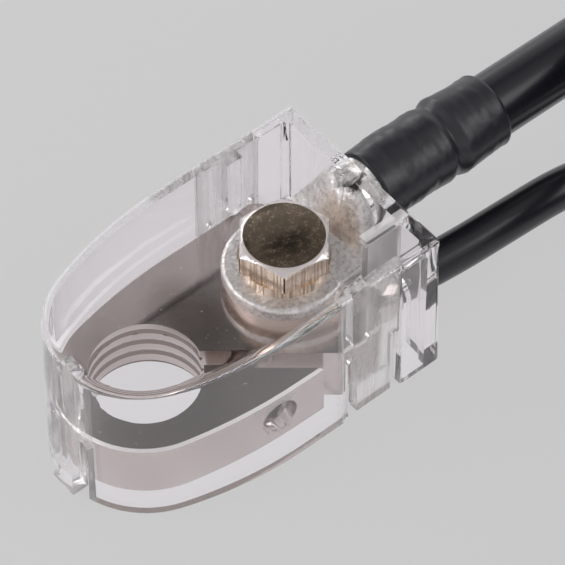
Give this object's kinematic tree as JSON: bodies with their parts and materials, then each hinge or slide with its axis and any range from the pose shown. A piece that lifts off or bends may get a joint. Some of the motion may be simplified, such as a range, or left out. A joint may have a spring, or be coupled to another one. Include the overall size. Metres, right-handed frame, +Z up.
{
  "type": "battery terminal clamp",
  "caption": "Battery post clamp with a bolted cable lug, a crimped branch cable, coiled leads and a clear hood on three latches.",
  "frame": {"origin": "on the post bore's axis, in the plane of the hood's rim on which the part rests", "axes": "+Z up out of the battery along the post, +X from the post towards the cables, -Y towards the clamp screw"},
  "size_m": [0.2058, 0.1149, 0.0374],
  "materials": {
    "plated_brass": "nickel plated, satin",
    "zinc_steel": "zinc plated",
    "tinned_copper": "bright tinned copper",
    "bare_copper": "bare copper strand",
    "sleeve": "black shrink sleeve",
    "insulation": "black cable insulation",
    "tie_plastic": "black nylon",
    "clear_plastic": "clear moulded plastic"
  },
  "bodies": {
    "clamp": {"clamp_block": "plated_brass", "spring_washer": "zinc_steel", "main_lug": "tinned_copper", "main_conductor": "bare_copper", "branch_conductor": "bare_copper", "main_sleeve": "sleeve", "main_cable": "insulation", "main_cable_coil": "insulation", "branch_cable": "insulation", "branch_cable_coil": "insulation", "main_coil_tie": "tie_plastic", "branch_coil_tie": "tie_plastic", "main_far_lug": "tinned_copper", "main_far_sleeve": "sleeve", "branch_far_lug": "tinned_copper", "branch_far_sleeve": "sleeve"},
    "hood": {"terminal_hood": "clear_plastic"},
    "bolt": {"terminal_bolt": "zinc_steel"},
    "screw": {"clamp_screw": "zinc_steel"}
  },
  "joints": [
    {"name": "hood_lift", "type": "slide", "parent": "clamp", "child": "hood", "axis": [0, 0, 1], "range_m": [0, 0.032]},
    {"name": "bolt_turn", "type": "hinge", "parent": "clamp", "child": "bolt", "pos_m": [0.026, 0, 0.0212], "axis": [0, 0, 1], "continuous": true},
    {"name": "screw_turn", "type": "hinge", "parent": "clamp", "child": "screw", "pos_m": [0.0123, -0.012, 0.0088], "axis": [0, 1, 0], "continuous": true}
  ]
}
